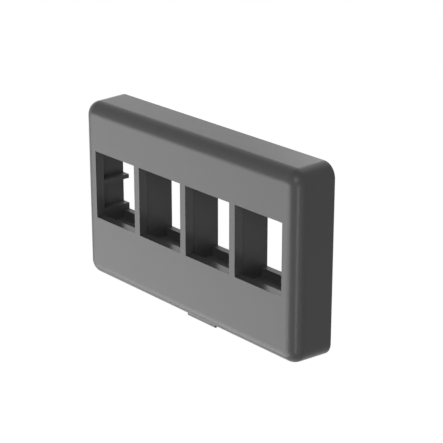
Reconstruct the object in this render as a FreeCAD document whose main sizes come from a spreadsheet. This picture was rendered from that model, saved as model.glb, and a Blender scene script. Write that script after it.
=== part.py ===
import FreeCAD, Part
import math
import os
import Sketcher

# Keystone faceplate for a furniture opening, moulded in one piece. Millimetres.
# X runs along the row of ports, Y from the front of the plate to its back, Z up.
# The origin is the middle of the plane that the rim touches when the plate is fitted.

SIZES = {
    # Front panel and the row of ports
    "port_count": 4,
    "port_width": 14.95,
    "port_height": 16.6,
    "mullion": 1.85,            # panel left between two ports
    "end_margin": 4.4,          # outer port to the end of the front panel
    "top_margin": 11.5,         # ports to the top of the front panel
    "bottom_margin": 15.1,      # ports to the bottom of the front panel
    "panel": 2.3,               # thickness of the front panel
    "face_radius": 3.1,         # rounding of the front edge
    "face_corner": 0.2,         # what is left of the outline's corner on the flat front
    # Skirt and rim
    "skirt": 2.3,               # thickness of the skirt's walls
    "flare": 0.3,               # how far the walls lean outwards from front to rim, to leave the mould
    "inner_radius": 1.0,        # upright corners inside the skirt
    "root_radius": 0.8,         # inside edge between the panel and the skirt
    "rim_lip": 0.8,             # thickness of the lip that meets the furniture
    "rim_step": 0.5,            # how far the lip stands behind everything inside it
    # Jack housing behind the ports
    "housing_depth": 9.85,      # front of the plate to the back of the housing
    "bay_play": 0.325,          # how far a partition's side lies behind the port's side
    "rail": 1.2,                # thickness of the housing's floor and roof
    "groove": 2.0,              # depth of the grooves that the jack's noses drop into
    "ledge": 1.65,              # thickness of the lower ledge, front to back
    "catch": 1.65,              # thickness of the upper catch, front to back
    "catch_rise": 3.1,          # top of the port to the underside of the upper catch
    "catch_ramp": 0.8,          # bevel that lifts the jack's spring over the upper catch
    # Guides at the two ends of the housing
    "guide_rib": 1.0,
    "guide_play": 0.15,         # how far a guide's face lies behind the port's side
    "cheek_rise": 1.5,          # cheek beyond the ledge and beyond the catch
    # Snap features for the furniture opening
    "seat": 4.1,                # how far the plate covers the furniture above and below the opening
    "mouth_play": 0.5,          # snap arms to the edge of the opening
    "grip": 2.2,                # thickest furniture wall that the noses reach behind
    "bite": 1.2,                # nose past the edge of the opening
    "nose_flat": 0.6,
    "nose_ramp": 2.2,
    "hook_width": 8.0,
    "hook_thickness": 1.6,
    "latch_width": 9.8,
    "latch_thickness": 1.2,
    "arm_root": 0.4,            # rounding where an arm springs from the panel and at the foot of a nose
    "arm_corner": 0.2,          # rounding of the outer corners of noses and tab
    # Release tab below the bottom edge
    "tab_depth": 5.2,           # front of the plate to the front of the tab
    "tab_thickness": 0.8,
    "tab_reach": 2.8,           # how far the tab shows below the plate
    "slot_play": 1.0,           # gap round the tab in its slot
    # Marks of the mould's ejector pins on the back of the panel
    "pin_mark": 3.0,            # diameter
    "pin_mark_depth": 0.15,
}

doc = FreeCAD.newDocument("keystone_faceplate")
sheet = doc.addObject("Spreadsheet::Sheet", "sizes")
for row, (alias, size) in enumerate(SIZES.items(), start=1):
    sheet.set(f"A{row}", alias.replace("_", " "))
    sheet.set(f"B{row}", str(size))
    sheet.setAlias(f"B{row}", alias)
doc.recompute()

body = doc.addObject("PartDesign::Body", "faceplate")
body.Label = "faceplate"
origin = {feature.Role: feature for feature in body.Origin.OriginFeatures}

# Sizes of the front panel that follow from the row of ports
PITCH = "(sizes.port_width + sizes.mullion)"
ROW = f"({PITCH} * (sizes.port_count - 1))"
WIDTH = f"({ROW} + sizes.port_width + 2 * sizes.end_margin)"
HEIGHT = "(sizes.port_height + sizes.top_margin + sizes.bottom_margin)"
DEPTH = "(sizes.housing_depth + sizes.rim_step)"
CORNER = "(sizes.face_radius + sizes.face_corner)"

# Levels, as heights above the middle of the plate
PORT_HIGH = f"({HEIGHT} / 2 - sizes.top_margin)"
PORT_LOW = f"(sizes.bottom_margin - {HEIGHT} / 2)"
GROOVE_FLOOR = f"({PORT_LOW} - sizes.groove)"
FLOOR_UNDER = f"({GROOVE_FLOOR} - sizes.rail)"
CATCH_LOW = f"({PORT_HIGH} + sizes.catch_rise)"
GROOVE_ROOF = f"({CATCH_LOW} + sizes.groove)"
ROOF_TOP = f"({GROOVE_ROOF} + sizes.rail)"
MOUTH = f"({HEIGHT} / 2 - sizes.seat)"
ARM = f"({MOUTH} - sizes.mouth_play)"
NOSE = f"({MOUTH} + sizes.bite)"

# Planes, as distances in front of the rim
PANEL_BACK = f"({DEPTH} - sizes.panel)"
HOUSING_BACK = "sizes.rim_step"
TAB_FRONT = f"({DEPTH} - sizes.tab_depth)"
TAB_BACK = f"({TAB_FRONT} - sizes.tab_thickness)"

# Distances from the middle of the plate along the row. The housing's ends run into the leaning skirt.
HOUSING_END = f"({WIDTH} / 2 + sizes.flare - sizes.skirt)"
GUIDE_FACE = f"({ROW} / 2 + sizes.port_width / 2 + sizes.guide_play)"

# Distances behind the rim, where the noses are
NOSE_RAMP_START = "(sizes.grip + sizes.nose_flat)"
NOSE_END = f"({NOSE_RAMP_START} + sizes.nose_ramp)"
TAB_LOW = f"-({HEIGHT} / 2 + sizes.tab_reach)"


def value(expression):
    """Number that an expression on the sheet has now."""
    return float(sheet.evalExpression(expression))


def new_sketch(name, plane, offset="0", along="0"):
    """Sketch parallel to an origin plane, moved by offset along its normal and by along on its own X."""
    sketch = body.newObject("Sketcher::SketchObject", name)
    sketch.AttachmentSupport = [(origin[plane], "")]
    sketch.MapMode = "FlatFace"
    sketch.setExpression("AttachmentOffset.Base.z", offset)
    sketch.setExpression("AttachmentOffset.Base.x", along)
    return sketch


def bind(sketch, kind, element, point, expression):
    """Distance of a sketch point from the sketch's origin, held by an expression."""
    name = f"{kind}_{element}_{point}"
    constraint = Sketcher.Constraint(kind, -1, 1, element, point, value(expression))
    sketch.renameConstraint(sketch.addConstraint(constraint), name)
    sketch.setExpression(f"Constraints.{name}", expression)


def draw_outline(sketch, corners):
    """Closed outline with straight sides. A corner is a pair of expressions."""
    count = len(corners)
    spots = [FreeCAD.Vector(value(x), value(y), 0) for x, y in corners]
    for side in range(count):
        sketch.addGeometry(Part.LineSegment(spots[side], spots[(side + 1) % count]), False)
    for side in range(count):
        sketch.addConstraint(Sketcher.Constraint("Coincident", side, 2, (side + 1) % count, 1))
    for side, (x, y) in enumerate(corners):
        bind(sketch, "DistanceX", side, 1, x)
        bind(sketch, "DistanceY", side, 1, y)


def draw_rectangle(sketch, left, right, low, high):
    draw_outline(sketch, [(left, low), (right, low), (right, high), (left, high)])


def draw_rounded(sketch, width, height, radius):
    """Rectangle about the sketch's origin with round corners: arcs first, then the sides between them."""
    x = f"({width} / 2 - {radius})"
    y = f"({height} / 2 - {radius})"
    centres = [(x, y), (f"-{x}", y), (f"-{x}", f"-{y}"), (x, f"-{y}")]
    bend = value(radius)
    arcs = []
    for corner, (across, up) in enumerate(centres):
        centre = FreeCAD.Vector(value(across), value(up), 0)
        circle = Part.Circle(centre, FreeCAD.Vector(0, 0, 1), bend)
        arcs.append(Part.ArcOfCircle(circle, corner * math.pi / 2, (corner + 1) * math.pi / 2))
    for arc in arcs:
        sketch.addGeometry(arc, False)
    for corner, arc in enumerate(arcs):
        after = arcs[(corner + 1) % 4]
        sketch.addGeometry(Part.LineSegment(arc.EndPoint, after.StartPoint), False)
    for corner in range(4):
        side = 4 + corner
        sketch.addConstraint(Sketcher.Constraint("Tangent", corner, 2, side, 1))
        sketch.addConstraint(Sketcher.Constraint("Tangent", side, 2, (corner + 1) % 4, 1))
        bind(sketch, "DistanceX", corner, 3, centres[corner][0])
        bind(sketch, "DistanceY", corner, 3, centres[corner][1])
        name = f"radius_{corner}"
        sketch.renameConstraint(sketch.addConstraint(Sketcher.Constraint("Radius", corner, bend)), name)
        sketch.setExpression(f"Constraints.{name}", radius)


def add_feature(kind, name, sketch, length, backwards=False, both_ways=False):
    """Pad or Pocket of a sketch."""
    feature = body.newObject(f"PartDesign::{kind}", name)
    feature.Profile = sketch
    feature.setExpression("Length", length)
    feature.Reversed = backwards
    if both_ways:
        feature.SideType = "Symmetric"
    sketch.Visibility = False
    return feature


def add_loft(kind, name, sections):
    """Additive or subtractive loft with straight walls between two sketches."""
    loft = body.newObject(f"PartDesign::{kind}Loft", name)
    loft.Profile = sections[0]
    loft.Sections = sections[1:]
    loft.Ruled = True
    for sketch in sections:
        sketch.Visibility = False
    return loft


def repeat(name, features, spacing, count):
    """Copies of features in a row along X."""
    pattern = body.newObject("PartDesign::LinearPattern", name)
    pattern.Originals = features
    pattern.Direction = (origin["X_Axis"], [""])
    pattern.setExpression("Length", f"{spacing} * ({count} - 1)")
    pattern.setExpression("Occurrences", count)
    body.Tip = pattern


def mirror(name, features):
    """The same features on the other half of the plate."""
    mirrored = body.newObject("PartDesign::Mirrored", name)
    mirrored.Originals = features
    mirrored.MirrorPlane = (origin["YZ_Plane"], [""])
    body.Tip = mirrored


def edges_in_plane(feature, distance):
    """Names of the feature's edges that lie in the plane at a distance in front of the rim."""
    doc.recompute()
    level = -value(distance)
    names = []
    for number, edge in enumerate(feature.Shape.Edges, start=1):
        box = edge.BoundBox
        if abs(box.YMin - level) < 1e-4 and abs(box.YMax - level) < 1e-4:
            names.append(f"Edge{number}")
    return names


def edges_along_row(feature, places):
    """Names of the feature's edges that run along X through places, each a pair of expressions for Y and Z."""
    doc.recompute()
    spots = [(value(y), value(z)) for y, z in places]
    names = []
    for number, edge in enumerate(feature.Shape.Edges, start=1):
        box = edge.BoundBox
        if max(box.YLength, box.ZLength) > 1e-4 or box.XLength < 1e-4:
            continue
        if any(abs(box.YMin - y) < 1e-4 and abs(box.ZMin - z) < 1e-4 for y, z in spots):
            names.append(f"Edge{number}")
    return names


def round_edges(name, feature, edges, radius):
    fillet = body.newObject("PartDesign::Fillet", name)
    fillet.Base = (feature, edges)
    fillet.setExpression("Radius", radius)
    return fillet


def new_outline(name, distance, wall, radius):
    """Outline that lies a wall inside the leaning skirt, in the plane at a distance in front of the rim."""
    sketch = new_sketch(name, "XZ_Plane", distance)
    growth = f"2 * (sizes.flare * (1 - {distance} / {DEPTH}) - {wall})"
    draw_rounded(sketch, f"({WIDTH} + {growth})", f"({HEIGHT} + {growth})", radius)
    return sketch


def make_shell():
    """Front panel and skirt: a block with a round front edge, hollowed from behind in two steps."""
    block = add_loft("Additive", "plate_block", [
        new_outline("rim_outline", "0", "0", CORNER),
        new_outline("front_outline", DEPTH, "0", CORNER),
    ])
    round_edges("front_rounding", block, edges_in_plane(block, DEPTH), "sizes.face_radius")

    recess = new_outline("rim_recess_outline", "0", "sizes.rim_lip", f"({CORNER} - sizes.rim_lip)")
    add_feature("Pocket", "rim_recess", recess, "sizes.rim_step", backwards=True)

    hollow = add_loft("Subtractive", "cavity", [
        new_outline("cavity_mouth", HOUSING_BACK, "sizes.skirt", "sizes.inner_radius"),
        new_outline("cavity_bottom", PANEL_BACK, "sizes.skirt", "sizes.inner_radius"),
    ])
    round_edges("cavity_rounding", hollow, edges_in_plane(hollow, PANEL_BACK), "sizes.root_radius")


def make_rails():
    """Floor and roof of the housing, with the ledge and the catch along their back edges."""
    floor = new_sketch("floor_section", "YZ_Plane")
    ledge_front = f"-({HOUSING_BACK} + sizes.ledge)"
    draw_outline(floor, [
        (f"-{PANEL_BACK}", FLOOR_UNDER),
        (f"-{HOUSING_BACK}", FLOOR_UNDER),
        (f"-{HOUSING_BACK}", PORT_LOW),
        (ledge_front, PORT_LOW),
        (ledge_front, GROOVE_FLOOR),
        (f"-{PANEL_BACK}", GROOVE_FLOOR),
    ])
    add_feature("Pad", "floor_rail", floor, f"2 * {HOUSING_END}", both_ways=True)

    roof = new_sketch("roof_section", "YZ_Plane")
    catch_front = f"-({HOUSING_BACK} + sizes.catch)"
    draw_outline(roof, [
        (f"-{PANEL_BACK}", GROOVE_ROOF),
        (catch_front, GROOVE_ROOF),
        (catch_front, CATCH_LOW),
        (f"-({HOUSING_BACK} + sizes.catch_ramp)", CATCH_LOW),
        (f"-{HOUSING_BACK}", f"({CATCH_LOW} + sizes.catch_ramp)"),
        (f"-{HOUSING_BACK}", ROOF_TOP),
        (f"-{PANEL_BACK}", ROOF_TOP),
    ])
    add_feature("Pad", "roof_rail", roof, f"2 * {HOUSING_END}", both_ways=True)


def make_partitions():
    """Walls between the bays, from the floor rail to the roof rail."""
    wall = new_sketch("partition_outline", "XZ_Plane", HOUSING_BACK, f"({PITCH} - {ROW}) / 2")
    half = "(sizes.mullion / 2 - sizes.bay_play)"
    draw_rectangle(wall, f"-{half}", half, GROOVE_FLOOR, GROOVE_ROOF)
    partition = add_feature("Pad", "partition", wall, "sizes.housing_depth - sizes.panel")
    repeat("partitions", [partition], PITCH, "(sizes.port_count - 1)")


def make_guides():
    """Rib and cheeks that stand in for a partition at each end of the row."""
    across = (f"-{HOUSING_END}", f"-{GUIDE_FACE}")
    middle = f"(({PORT_HIGH} + {PORT_LOW}) / 2)"
    levels = {
        "guide_rib": (f"({middle} - sizes.guide_rib / 2)", f"({middle} + sizes.guide_rib / 2)"),
        "lower_cheek": (GROOVE_FLOOR, f"({PORT_LOW} + sizes.cheek_rise)"),
        "upper_cheek": (f"({CATCH_LOW} - sizes.cheek_rise)", GROOVE_ROOF),
    }
    guides = []
    for name, (low, high) in levels.items():
        sketch = new_sketch(f"{name}_outline", "XZ_Plane", HOUSING_BACK)
        draw_rectangle(sketch, across[0], across[1], low, high)
        guides.append(add_feature("Pad", name, sketch, "sizes.housing_depth - sizes.panel"))
    mirror("guides", guides)


def make_ports():
    """Openings through the front panel."""
    sketch = new_sketch("port_outline", "XZ_Plane", DEPTH, f"-{ROW} / 2")
    draw_rectangle(sketch, "-sizes.port_width / 2", "sizes.port_width / 2", PORT_LOW, PORT_HIGH)
    port = add_feature("Pocket", "port", sketch, "sizes.panel")
    repeat("ports", [port], PITCH, "sizes.port_count")


def make_hooks():
    """Fixed hooks above the outer ports, which go behind the top edge of the furniture opening."""
    sketch = new_sketch("hook_section", "YZ_Plane", f"-{ROW} / 2")
    draw_outline(sketch, [
        (f"-{PANEL_BACK}", f"({ARM} - sizes.hook_thickness)"),
        (NOSE_END, f"({ARM} - sizes.hook_thickness)"),
        (NOSE_END, ARM),
        (NOSE_RAMP_START, NOSE),
        ("sizes.grip", NOSE),
        ("sizes.grip", ARM),
        (f"-{PANEL_BACK}", ARM),
    ])
    hook = add_feature("Pad", "hook", sketch, "sizes.hook_width", both_ways=True)
    mirror("hooks", [hook])


def make_latch():
    """Spring arm behind the bottom edge, with its nose and the release tab that leaves by a slot."""
    slot = new_sketch("slot_outline", "XY_Plane", f"-({HEIGHT} / 2 + sizes.flare)")
    half = "(sizes.latch_width / 2 + sizes.slot_play)"
    draw_rectangle(
        slot, f"-{half}", half, f"-({TAB_FRONT} + sizes.slot_play)", f"-({TAB_BACK} - sizes.slot_play)"
    )
    add_feature("Pocket", "release_slot", slot, "sizes.flare + sizes.skirt", backwards=True)

    section = new_sketch("latch_section", "YZ_Plane")
    draw_outline(section, [
        (f"-{PANEL_BACK}", f"-{ARM}"),
        (f"-{TAB_FRONT}", f"-{ARM}"),
        (f"-{TAB_FRONT}", TAB_LOW),
        (f"-{TAB_BACK}", TAB_LOW),
        (f"-{TAB_BACK}", f"-{ARM}"),
        ("sizes.grip", f"-{ARM}"),
        ("sizes.grip", f"-{NOSE}"),
        (NOSE_RAMP_START, f"-{NOSE}"),
        (NOSE_END, f"-{ARM}"),
        (NOSE_END, f"-({ARM} - sizes.latch_thickness)"),
        (f"-{PANEL_BACK}", f"-({ARM} - sizes.latch_thickness)"),
    ])
    return add_feature("Pad", "latch", section, "sizes.latch_width", both_ways=True)


def round_snap_features(snaps):
    """Large rounding in the inner corners of the arms, where they bend, and a small one on noses and tab."""
    inner = [
        (f"-{PANEL_BACK}", ARM),
        ("sizes.grip", ARM),
        (f"-{PANEL_BACK}", f"-{ARM}"),
        (f"-{PANEL_BACK}", f"-({ARM} - sizes.latch_thickness)"),
        ("sizes.grip", f"-{ARM}"),
        (f"-{TAB_FRONT}", f"-{ARM}"),
        (f"-{TAB_BACK}", f"-{ARM}"),
    ]
    roots = round_edges("arm_roots", snaps, edges_along_row(snaps, inner), "sizes.arm_root")
    outer = [
        ("sizes.grip", NOSE),
        (NOSE_RAMP_START, NOSE),
        (NOSE_END, f"({ARM} - sizes.hook_thickness)"),
        ("sizes.grip", f"-{NOSE}"),
        (NOSE_RAMP_START, f"-{NOSE}"),
        (NOSE_END, f"-({ARM} - sizes.latch_thickness)"),
        (f"-{TAB_FRONT}", TAB_LOW),
        (f"-{TAB_BACK}", TAB_LOW),
    ]
    round_edges("arm_corners", roots, edges_along_row(roots, outer), "sizes.arm_corner")


def make_pin_marks():
    """Shallow round marks under each port, where the ejector pins of the mould pushed the panel out."""
    sketch = new_sketch("pin_marks", "XZ_Plane", PANEL_BACK)
    up = f"(({FLOOR_UNDER} + sizes.skirt - {HEIGHT} / 2) / 2)"
    for number, steps in enumerate((-1.5, -0.5, 0.5, 1.5)):
        across = f"({steps} * {PITCH})"
        centre = FreeCAD.Vector(value(across), value(up), 0)
        sketch.addGeometry(Part.Circle(centre, FreeCAD.Vector(0, 0, 1), value("sizes.pin_mark") / 2), False)
        bind(sketch, "DistanceX", number, 3, across)
        bind(sketch, "DistanceY", number, 3, up)
        name = f"diameter_{number}"
        round_size = Sketcher.Constraint("Diameter", number, value("sizes.pin_mark"))
        sketch.renameConstraint(sketch.addConstraint(round_size), name)
        sketch.setExpression(f"Constraints.{name}", "sizes.pin_mark")
    add_feature("Pocket", "pin_mark_pockets", sketch, "sizes.pin_mark_depth", backwards=True)


def check_model():
    """Stop before anything is written if a feature failed or the plate isn't one good solid."""
    for thing in doc.Objects:
        if "Invalid" in thing.State or "Error" in thing.State:
            raise RuntimeError(f"{thing.Name} failed: {thing.State}")
    shape = body.Shape
    if shape.isNull() or not shape.isValid() or len(shape.Solids) != 1:
        raise RuntimeError("the faceplate isn't one valid solid")


make_shell()
make_rails()
make_partitions()
make_guides()
make_ports()
make_pin_marks()
make_hooks()
round_snap_features(make_latch())
doc.recompute()
check_model()

os.makedirs("parts", exist_ok=True)
body.Shape.exportStep(f"parts/{body.Label}.step")
box = body.Shape.BoundBox
print(f"faceplate {box.XLength:.2f} x {box.YLength:.2f} x {box.ZLength:.2f} mm")
print(f"volume {body.Shape.Volume:.1f} cubic mm, {len(body.Shape.Faces)} faces")
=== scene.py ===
"""Keystone faceplate: the finish of the moulding, and the studio it is seen in.

Lengths are in metres and follow the plate's own frame: +X along the row of ports, +Y out of the
back, +Z up, with the origin in the middle of the rim's plane.
"""
import math

import bpy
from mathutils import Euler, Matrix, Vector


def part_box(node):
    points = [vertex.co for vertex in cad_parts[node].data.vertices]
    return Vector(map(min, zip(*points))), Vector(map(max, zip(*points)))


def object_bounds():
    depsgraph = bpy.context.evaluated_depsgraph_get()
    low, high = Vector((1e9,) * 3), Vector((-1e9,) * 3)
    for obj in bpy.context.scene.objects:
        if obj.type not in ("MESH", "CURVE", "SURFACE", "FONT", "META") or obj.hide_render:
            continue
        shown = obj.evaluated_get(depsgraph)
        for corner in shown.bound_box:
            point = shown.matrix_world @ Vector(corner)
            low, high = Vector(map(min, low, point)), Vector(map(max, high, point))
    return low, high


bl_info = {
    "name": "Keystone faceplate",
    "version": (1, 0, 0),
    "blender": (4, 5, 0),
    "location": "3D View > Sidebar > Faceplate",
    "description": "Moulded plastic finish of a keystone faceplate, with its studio",
    "category": "Object",
}

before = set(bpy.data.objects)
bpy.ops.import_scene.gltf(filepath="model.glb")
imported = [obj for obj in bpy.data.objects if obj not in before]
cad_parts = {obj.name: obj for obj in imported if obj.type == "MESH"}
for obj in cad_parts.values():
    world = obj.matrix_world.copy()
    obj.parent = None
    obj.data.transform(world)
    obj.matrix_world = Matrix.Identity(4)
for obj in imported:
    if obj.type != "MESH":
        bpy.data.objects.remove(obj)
CAD_LOW, CAD_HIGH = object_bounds()
PLATE_LOW, PLATE_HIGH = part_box("faceplate")

# Outline of the rim, and the skirt that leans inwards from it to the round front edge
HALF_WIDTH = PLATE_HIGH.x
HALF_HEIGHT = PLATE_HIGH.z
DEPTH = -PLATE_LOW.y
FLARE = 0.0003
FACE_RADIUS = 0.0031
PANEL_THICKNESS = 0.0023

# Depths under the outer skin between which the grained outside gives way to the drawn walls, and
# half the width of the change from the ports to the housing
GRAIN_ENDS = 0.00006
DRAWN_BEGINS = 0.00030
PORT_BLUR = 0.0001

# Widths of the marks that moulding leaves: broad clouds, swells, and the streaks of drawn walls
CLOUD_SIZE = 0.009
SWELL_SIZE = 0.0016
STREAK_SIZE = 0.00035
STREAK_DEPTH = 0.000002
STREAK_STRETCH = (1.0, 0.06, 1.0)

# How far the ports' edges fall below the roughness of the outside, and the housing rises above them
PORT_POLISH = 0.06
HOUSING_DULLNESS = 0.20

BLACK = (0.0, 0.0, 0.0, 1.0)
WHITE = (1.0, 1.0, 1.0, 1.0)
PLASTIC_IOR = 1.5

# Pale floor, half its side, and the brightness that lamps and fill give it already
FLOOR_COLOUR = (0.8, 0.8, 0.8, 1.0)
FLOOR_REACH = 3.0
FLOOR_LIT = 0.04

# Soft lamps: degrees round from the front and up, width and height in metres, watts
LAMPS = {
    "front_key": ((-38.0, -30.0), (0.50, 0.50), 2.76),
    "front_right": ((50.0, -15.0), (0.10, 0.27), 0.43),
    "right_strip": ((76.0, -20.0), (0.10, 0.10), 0.05),
    "right_soft": ((60.0, 20.0), (0.45, 0.45), 0.14),
    "corner": ((30.0, 40.0), (0.24, 0.24), 0.60),
    "back_key": ((-160.0, 8.0), (0.45, 0.45), 0.74),
    "back_left": ((-130.0, 10.0), (0.25, 0.25), 0.11),
    "back_high": ((-160.0, 55.0), (0.29, 0.29), 0.20),
}

# Camera: place, turn in degrees, lens and film width in millimetres
CAMERA_PLACE = (0.25254, -0.21384, 0.11887)
CAMERA_TURN = (70.084, 0.0, 49.608)
CAMERA_LENS = 125.47
CAMERA_FILM = 36.0


class Socket:
    """One output of a shader node, with the sums that are done on it."""

    def __init__(self, nodes, output):
        self.nodes = nodes
        self.output = output

    def maths(self, operation, *others):
        """A Math node whose values are this socket and the others, in their order."""
        values = dict(enumerate((self, *others)))
        return self.nodes.add("ShaderNodeMath", {"operation": operation}, values)

    def __add__(self, other):
        return self.maths("ADD", other)

    __radd__ = __add__

    def __mul__(self, other):
        return self.maths("MULTIPLY", other)

    __rmul__ = __mul__

    def __sub__(self, other):
        return self.maths("SUBTRACT", other)

    def __rsub__(self, other):
        return self.nodes.add("ShaderNodeMath", {"operation": "SUBTRACT"}, {0: other, 1: self})

    def __abs__(self):
        return self.maths("ABSOLUTE")

    def at_least(self, other):
        return self.maths("MAXIMUM", other)

    def at_most(self, other):
        return self.maths("MINIMUM", other)

    def root(self):
        return self.maths("SQRT")

    def ramp(self, start, end):
        """0 at start and below, 1 at end and above, smooth between them."""
        return self.nodes.add(
            "ShaderNodeMapRange", {"interpolation_type": "SMOOTHSTEP"},
            {"Value": self, "From Min": start, "From Max": end},
        )


class Nodes:
    """Node tree of one material or world, emptied and filled by add."""

    def __init__(self, owner):
        owner.use_nodes = True
        self.tree = owner.node_tree
        self.tree.nodes.clear()

    def fill(self, node, values):
        """Give a node's sockets, by name or number, their values or links."""
        for name, value in values.items():
            if isinstance(value, Socket):
                self.tree.links.new(value.output, node.inputs[name])
            else:
                node.inputs[name].default_value = value

    def add(self, kind, settings=None, values=None, output=0):
        """New node. Its settings are set first, then its sockets are filled."""
        node = self.tree.nodes.new(kind)
        for name, setting in (settings or {}).items():
            setattr(node, name, setting)
        self.fill(node, values or {})
        if not node.outputs:
            return node
        return Socket(self, node.outputs[output])

    def split(self, vector):
        """The three numbers of a vector."""
        parts = self.add("ShaderNodeSeparateXYZ", values={"Vector": vector})
        return [Socket(self, output) for output in parts.output.node.outputs]

    def stretch(self, vector, scale):
        return self.add("ShaderNodeMapping", values={"Vector": vector, "Scale": scale})

    def noise(self, vector, size, detail=2.0, roughness=0.5):
        """Noise about 0.5 whose lumps are about size metres wide."""
        return self.add(
            "ShaderNodeTexNoise", {"noise_dimensions": "3D"},
            {"Vector": vector, "Scale": 1.0 / size, "Detail": detail, "Roughness": roughness},
        )

    def blend(self, factor, first, second):
        """Colour between two colours. Sockets 0, 6 and 7 and output 2 are the colour ones."""
        return self.add(
            "ShaderNodeMix", {"data_type": "RGBA"}, {0: factor, 6: first, 7: second}, output=2)


class PlasticSettings(bpy.types.PropertyGroup):
    """Colour and surface of the moulding."""

    grey: bpy.props.FloatProperty(
        name="Grey", description="Lightness of the plastic's neutral grey",
        default=0.08, min=0.0, max=1.0)
    roughness: bpy.props.FloatProperty(
        name="Roughness", description="Roughness of the outside",
        default=0.30, min=0.0, max=1.0, subtype="FACTOR")
    gloss: bpy.props.FloatProperty(
        name="Gloss", description="Strength of the reflections, 0.5 for clear gloss",
        default=0.25, min=0.0, max=1.0, subtype="FACTOR")
    grain_size: bpy.props.FloatProperty(
        name="Grain size", description="Width of one pit of the spark eroded grain",
        default=0.00022, min=0.00002, unit="LENGTH", precision=5)
    grain_depth: bpy.props.FloatProperty(
        name="Grain depth", description="Depth of the grain on the outside",
        default=0.0000022, min=0.0, unit="LENGTH", precision=6)


class StudioSettings(bpy.types.PropertyGroup):
    """Floor, sky and the distance of the lamps."""

    floor_gap: bpy.props.FloatProperty(
        name="Floor gap", description="Room between the plate's lowest point and the floor",
        default=1.2, min=0.0, unit="LENGTH")
    lamp_distance: bpy.props.FloatProperty(
        name="Lamp distance", description="Middle of the plate to each lamp",
        default=0.5, min=0.1, unit="LENGTH")
    fill: bpy.props.FloatProperty(
        name="Fill", description="Light from all round",
        default=0.06, min=0.0)
    backdrop: bpy.props.FloatProperty(
        name="Backdrop", description="Brightness of floor and sky as they are seen, 1 for white",
        default=1.0, min=0.0)


def plastic_material(settings):
    """Dark moulded plastic: spark eroded grain on the outside, smooth drawn walls inside."""
    material = bpy.data.materials.new("moulded_plastic")
    nodes = Nodes(material)
    place = nodes.add("ShaderNodeTexCoord", output=3)
    x, y, z = nodes.split(place)

    # Distance from the outer skin: a leaning box with round front edges, open at the back
    lean = y * (FLARE / DEPTH) - FACE_RADIUS
    past_x = abs(x) - HALF_WIDTH - lean
    past_y = -1.0 * y - (DEPTH - FACE_RADIUS)
    past_z = abs(z) - HALF_HEIGHT - lean
    out_x, out_y, out_z = (past.at_least(0.0) for past in (past_x, past_y, past_z))
    outside = (out_x * out_x + out_y * out_y + out_z * out_z).root()
    inside = past_x.at_least(past_y).at_least(past_z).at_most(0.0)
    skin = (outside + inside - FACE_RADIUS).ramp(-DRAWN_BEGINS, -GRAIN_ENDS)

    # Fine pits of the eroded mould, and the streaks that drawing the core leaves on inner walls
    pits = nodes.noise(place, settings.grain_size, detail=3.0, roughness=0.6)
    swell = nodes.noise(place, SWELL_SIZE)
    cloud = nodes.noise(place, CLOUD_SIZE, detail=3.0, roughness=0.55)
    streaks = nodes.noise(nodes.stretch(place, STREAK_STRETCH), STREAK_SIZE)

    # The shade varies a little about 1, and halving it keeps it a factor between black and 2 * grey
    shade = 1.0 + 0.10 * (cloud - 0.5) + 0.10 * (pits - 0.5) * skin
    twice = 2.0 * settings.grey
    colour = nodes.blend(shade * 0.5, BLACK, (twice, twice, twice, 1.0))

    # The ports' edges close against polished steel. The housing behind the panel is left duller.
    panel_back = PLATE_LOW.y + PANEL_THICKNESS
    housing = y.ramp(panel_back - PORT_BLUR, panel_back + PORT_BLUR)
    matt = settings.roughness + 0.05 * (swell - 0.5) + 0.08 * (pits - 0.5)
    drawn = settings.roughness - PORT_POLISH + HOUSING_DULLNESS * housing + 0.10 * (streaks - 0.5)
    roughness = matt * skin + drawn * (1.0 - skin)

    height = pits * skin * settings.grain_depth + streaks * (1.0 - skin) * STREAK_DEPTH
    bump = nodes.add("ShaderNodeBump", values={"Strength": 1.0, "Distance": 1.0, "Height": height})
    surface = nodes.add(
        "ShaderNodeBsdfPrincipled",
        values={
            "Base Color": colour, "Roughness": roughness, "Normal": bump, "IOR": PLASTIC_IOR,
            "Specular IOR Level": settings.gloss,
        },
    )
    nodes.add("ShaderNodeOutputMaterial", values={"Surface": surface})
    return material


class FACEPLATE_OT_moulding(bpy.types.Operator):
    """Give the moulding its plastic"""

    bl_idname = "faceplate.moulding"
    bl_label = "Moulding"

    def execute(self, context):
        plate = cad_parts["faceplate"]
        plate.data.materials.clear()
        plate.data.materials.append(plastic_material(context.scene.faceplate_plastic))
        return {"FINISHED"}


def seen_directly(nodes):
    """1 for rays of the camera, of reflections and of clear materials, 0 for the rest."""
    path = nodes.add("ShaderNodeLightPath").output.node
    camera, glossy, clear = (
        Socket(nodes, path.outputs[f"Is {kind} Ray"]) for kind in ("Camera", "Glossy", "Transmission"))
    return camera.at_least(glossy).at_least(clear)


def floor_material(settings):
    """Pale matt floor with a glow that makes it white where it is seen and adds no light."""
    material = bpy.data.materials.new("pale_floor")
    nodes = Nodes(material)
    body = nodes.add("ShaderNodeBsdfDiffuse", values={"Color": FLOOR_COLOUR})
    strength = seen_directly(nodes) * (settings.backdrop - FLOOR_LIT)
    glow = nodes.add("ShaderNodeEmission", values={"Strength": strength})
    both = nodes.add("ShaderNodeAddShader", values={0: body, 1: glow})
    nodes.add("ShaderNodeOutputMaterial", values={"Surface": both})
    return material


def light_sky(world, settings):
    """White sky where it is seen, and a weaker even fill for everything that it lights."""
    nodes = Nodes(world)
    seen = seen_directly(nodes)
    strength = seen * settings.backdrop + (1.0 - seen) * settings.fill
    sky = nodes.add("ShaderNodeBackground", values={"Color": WHITE, "Strength": strength})
    nodes.add("ShaderNodeOutputWorld", values={"Surface": sky})


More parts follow.
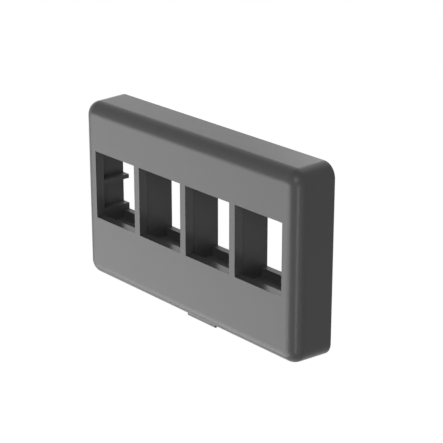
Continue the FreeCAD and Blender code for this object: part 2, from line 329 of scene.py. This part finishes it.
def add_plane(name, level, reach):
    """Level square centred under the plate."""
    corners = [(x * reach, y * reach, level) for x, y in ((-1, -1), (1, -1), (1, 1), (-1, 1))]
    mesh = bpy.data.meshes.new(name)
    mesh.from_pydata(corners, [], [(0, 1, 2, 3)])
    plane = bpy.data.objects.new(name, mesh)
    bpy.context.scene.collection.objects.link(plane)
    return plane


def add_lamp(name, direction, distance, size, power):
    """Soft flat lamp that faces the middle of the plate from a direction, in degrees round and up."""
    around, up = (math.radians(angle) for angle in direction)
    level = math.cos(up)
    towards = Vector((math.sin(around) * level, -math.cos(around) * level, math.sin(up)))
    data = bpy.data.lights.new(name, "AREA")
    data.shape = "RECTANGLE"
    data.size, data.size_y = size
    data.energy = power
    lamp = bpy.data.objects.new(name, data)
    lamp.location = towards * distance
    lamp.rotation_euler = towards.to_track_quat("Z", "Y").to_euler()
    lamp.visible_camera = False
    bpy.context.scene.collection.objects.link(lamp)


def add_camera():
    """Camera at the photograph's viewing angle: 49.6 degrees round to the right, 19.9 degrees up."""
    data = bpy.data.cameras.new("camera")
    data.lens = CAMERA_LENS
    data.sensor_width = CAMERA_FILM
    camera = bpy.data.objects.new("camera", data)
    camera.location = CAMERA_PLACE
    camera.rotation_euler = Euler([math.radians(angle) for angle in CAMERA_TURN])
    bpy.context.scene.collection.objects.link(camera)
    bpy.context.scene.camera = camera


class FACEPLATE_OT_studio(bpy.types.Operator):
    """Put the plate in a plain pale studio with soft lamps and the photograph's camera"""

    bl_idname = "faceplate.studio"
    bl_label = "Studio"

    def execute(self, context):
        settings = context.scene.faceplate_studio
        floor = add_plane("floor", CAD_LOW.z - settings.floor_gap, FLOOR_REACH)
        floor.data.materials.append(floor_material(settings))
        context.scene.world = context.scene.world or bpy.data.worlds.new("sky")
        light_sky(context.scene.world, settings)
        for name, (direction, size, power) in LAMPS.items():
            add_lamp(name, direction, settings.lamp_distance, size, power)
        add_camera()
        context.scene.view_settings.view_transform = "Standard"
        return {"FINISHED"}


class FACEPLATE_PT_panel(bpy.types.Panel):
    """Lists the steps of the faceplate and their settings"""

    bl_idname = "FACEPLATE_PT_panel"
    bl_label = "Keystone faceplate"
    bl_space_type = "VIEW_3D"
    bl_region_type = "UI"
    bl_category = "Faceplate"

    def draw(self, context):
        for operator, settings in (
            (FACEPLATE_OT_moulding, context.scene.faceplate_plastic),
            (FACEPLATE_OT_studio, context.scene.faceplate_studio),
        ):
            box = self.layout.box()
            for name in settings.__annotations__:
                box.prop(settings, name)
            box.operator(operator.bl_idname)


CLASSES = (
    PlasticSettings,
    StudioSettings,
    FACEPLATE_OT_moulding,
    FACEPLATE_OT_studio,
    FACEPLATE_PT_panel,
)


def register():
    for cls in CLASSES:
        bpy.utils.register_class(cls)
    bpy.types.Scene.faceplate_plastic = bpy.props.PointerProperty(type=PlasticSettings)
    bpy.types.Scene.faceplate_studio = bpy.props.PointerProperty(type=StudioSettings)


def unregister():
    del bpy.types.Scene.faceplate_studio
    del bpy.types.Scene.faceplate_plastic
    for cls in reversed(CLASSES):
        bpy.utils.unregister_class(cls)


def main():
    register()
    bpy.ops.faceplate.moulding()
    bpy.ops.faceplate.studio()


if __name__ == "__main__":
    main()
